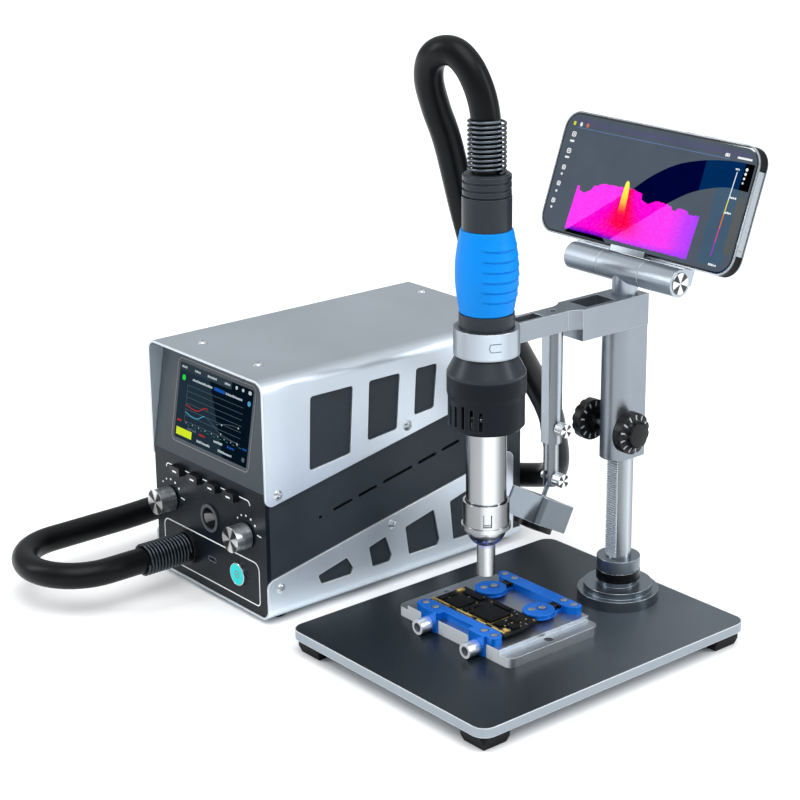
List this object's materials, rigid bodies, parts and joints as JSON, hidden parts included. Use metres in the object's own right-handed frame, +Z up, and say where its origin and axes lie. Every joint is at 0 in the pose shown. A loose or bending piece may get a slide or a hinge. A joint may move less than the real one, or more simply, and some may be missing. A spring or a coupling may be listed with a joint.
{
  "type": "hot air rework station",
  "caption": "Hot air rework station: control unit, hose and hot air handle on a rack stand, with a thermal camera, tilting display and a board clamp on the base plate.",
  "frame": {"origin": "middle of the whole kit's footprint, on the bench", "axes": "+Z up, +X from the control unit towards the stand, +Y from the front of the kit to its back"},
  "size_m": [0.398, 0.3402, 0.3825],
  "materials": {
    "cover_silver": "fine bead-blasted, anodised light blue-grey",
    "body_dark": "satin dark slate powder coat",
    "panel_dark": "satin moulded dark grey",
    "screen_glass": "glossy cover glass over a lit screen",
    "board_green": "solder mask",
    "key_black": "satin black",
    "button_lit": "translucent, lit",
    "knob_chrome": "turned and polished",
    "port_dark": "satin black",
    "spring_black": "black oxide wire",
    "duct_silicone": "matt silicone",
    "blower_plastic": "glass-filled moulding",
    "impeller_grey": "moulded",
    "motor_steel": "brushed can",
    "inlet_black": "moulded",
    "foot_rubber": "matt rubber",
    "screw_steel": "bright zinc",
    "hose_rubber": "smooth silicone, semi-gloss",
    "nozzle_steel": "polished stainless",
    "heater_chrome": "polished",
    "heater_ceramic": "matt",
    "housing_black": "satin moulded",
    "grip_blue": "soft satin",
    "boot_black": "satin",
    "spring_steel": "bright wire",
    "plate_dark": "fine satin coat",
    "stand_silver": "satin anodised",
    "rack_steel": "machined",
    "height_knob_black": "satin moulded",
    "display_black": "glossy glass, polished frame",
    "fixture_silver": "milled, bright anodised",
    "jaw_blue": "blue anodised",
    "workpiece_board": "black solder mask, gold pads"
  },
  "bodies": {
    "root": {"top_cover": "cover_silver", "bottom_tray": "cover_silver", "chassis": "body_dark", "front_panel": "panel_dark", "rear_panel": "body_dark", "screen_module": "screen_glass", "control_board": "board_green", "round_window": "key_black", "hose_port": "port_dark", "port_spring": "spring_black", "air_duct": "duct_silicone", "blower_housing": "blower_plastic", "blower_motor": "motor_steel", "main_board": "board_green", "mains_inlet": "inlet_black", "rubber_feet": "foot_rubber", "unit_screws": "screw_steel", "hose": "hose_rubber", "base_plate": "plate_dark", "column_flange": "stand_silver", "column": "stand_silver", "rack": "rack_steel", "fixture_base": "fixture_silver", "rear_jaw": "jaw_blue", "circuit_board": "workpiece_board"},
    "button_1": {"button_1": "key_black"},
    "button_2": {"button_2": "key_black"},
    "button_3": {"button_3": "key_black"},
    "button_4": {"button_4": "key_black"},
    "power_button": {"power_button": "button_lit"},
    "left_knob": {"left_knob": "knob_chrome"},
    "right_knob": {"right_knob": "knob_chrome"},
    "impeller": {"impeller": "impeller_grey"},
    "carriage": {"carriage": "stand_silver", "tool_arm": "stand_silver", "nozzle": "nozzle_steel", "nozzle_clamp": "nozzle_steel", "heater_tube": "heater_chrome", "heater_core": "heater_ceramic", "lower_housing": "housing_black", "upper_housing": "housing_black", "grip_sleeve": "grip_blue", "hose_boot": "boot_black", "hose_spring": "spring_steel", "camera_tube": "stand_silver"},
    "pinion": {"pinion_shaft": "rack_steel", "height_knobs": "height_knob_black"},
    "tube_screw": {"tube_screw": "knob_chrome"},
    "camera_rod": {"camera_rod": "stand_silver"},
    "rod_screw": {"rod_screw": "knob_chrome"},
    "camera_head": {"camera_head": "stand_silver"},
    "cradle_post": {"cradle_post": "stand_silver"},
    "cradle": {"cradle_bracket": "stand_silver", "cradle_axle": "knob_chrome", "display_slab": "display_black"},
    "front_jaw": {"front_jaw": "jaw_blue"},
    "left_jaw_screw": {"left_jaw_screw": "knob_chrome"},
    "right_jaw_screw": {"right_jaw_screw": "knob_chrome"},
    "left_pad": {"left_pad": "jaw_blue"},
    "right_pad": {"right_pad": "jaw_blue"}
  },
  "joints": [
    {"name": "carriage_slide", "type": "slide", "parent": "root", "child": "carriage", "axis": [0, 0, 1], "range_m": [-0.028, 0.035], "deforming": ["hose"]},
    {"name": "pinion_spin", "type": "hinge", "parent": "carriage", "child": "pinion", "pos_m": [0.1185, 0.0996, 0.134], "axis": [1, 0, 0], "range_deg": [-803, 642]},
    {"name": "button_1_press", "type": "slide", "parent": "root", "child": "button_1", "axis": [0, 1, 0], "range_m": [0, 0.0008]},
    {"name": "button_2_press", "type": "slide", "parent": "root", "child": "button_2", "axis": [0, 1, 0], "range_m": [0, 0.0008]},
    {"name": "button_3_press", "type": "slide", "parent": "root", "child": "button_3", "axis": [0, 1, 0], "range_m": [0, 0.0008]},
    {"name": "button_4_press", "type": "slide", "parent": "root", "child": "button_4", "axis": [0, 1, 0], "range_m": [0, 0.0008]},
    {"name": "power_press", "type": "slide", "parent": "root", "child": "power_button", "axis": [0, 1, 0], "range_m": [0, 0.001]},
    {"name": "left_knob_turn", "type": "hinge", "parent": "root", "child": "left_knob", "pos_m": [-0.1264, -0.065, 0.0564], "axis": [0, 1, 0], "continuous": true},
    {"name": "right_knob_turn", "type": "hinge", "parent": "root", "child": "right_knob", "pos_m": [-0.0407, -0.065, 0.0564], "axis": [0, 1, 0], "continuous": true},
    {"name": "impeller_spin", "type": "hinge", "parent": "root", "child": "impeller", "pos_m": [-0.08, 0.067, 0.027], "axis": [0, 0, 1], "continuous": true},
    {"name": "tube_screw_turn", "type": "hinge", "parent": "carriage", "child": "tube_screw", "pos_m": [0.1185, 0.0493, 0.1455], "axis": [1, 0, 0], "range_deg": [-180, 180]},
    {"name": "camera_rod_slide", "type": "slide", "parent": "carriage", "child": "camera_rod", "axis": [0, 0, 1], "range_m": [-0.018, 0.015]},
    {"name": "rod_screw_turn", "type": "hinge", "parent": "camera_rod", "child": "rod_screw", "pos_m": [0.1185, 0.0493, 0.113], "axis": [1, 0, 0], "range_deg": [-180, 180]},
    {"name": "camera_tilt", "type": "hinge", "parent": "camera_rod", "child": "camera_head", "pos_m": [0.1185, 0.0493, 0.113], "axis": [1, 0, 0], "range_deg": [-25, 40]},
    {"name": "cradle_swivel", "type": "hinge", "parent": "carriage", "child": "cradle_post", "pos_m": [0.1185, 0.1095, 0.2175], "axis": [0, 0, 1], "range_deg": [-60, 60]},
    {"name": "cradle_tilt", "type": "hinge", "parent": "cradle_post", "child": "cradle", "pos_m": [0.1185, 0.1095, 0.2322], "axis": [-1, 0, 0], "range_deg": [-20, 45]},
    {"name": "front_jaw_slide", "type": "slide", "parent": "root", "child": "front_jaw", "axis": [0, -1, 0], "range_m": [0, 0.006]},
    {"name": "left_jaw_screw_turn", "type": "hinge", "parent": "front_jaw", "child": "left_jaw_screw", "pos_m": [0.078, -0.014, 0.021], "axis": [0, -1, 0], "range_deg": [0, 3086]},
    {"name": "right_jaw_screw_turn", "type": "hinge", "parent": "front_jaw", "child": "right_jaw_screw", "pos_m": [0.122, -0.014, 0.021], "axis": [0, -1, 0], "range_deg": [0, 3086]},
    {"name": "left_pad_swing", "type": "hinge", "parent": "root", "child": "left_pad", "pos_m": [0.078, 0.04, 0.028], "axis": [0, 0, 1], "range_deg": [-90, 90]},
    {"name": "right_pad_swing", "type": "hinge", "parent": "root", "child": "right_pad", "pos_m": [0.122, 0.04, 0.028], "axis": [0, 0, 1], "range_deg": [-90, 90]}
  ],
  "couplings": [
    {"joint": "pinion_spin", "follows": "carriage_slide", "rad_per_m": -400},
    {"joint": "left_jaw_screw_turn", "follows": "front_jaw_slide", "rad_per_m": 8976},
    {"joint": "right_jaw_screw_turn", "follows": "front_jaw_slide", "rad_per_m": 8976}
  ]
}
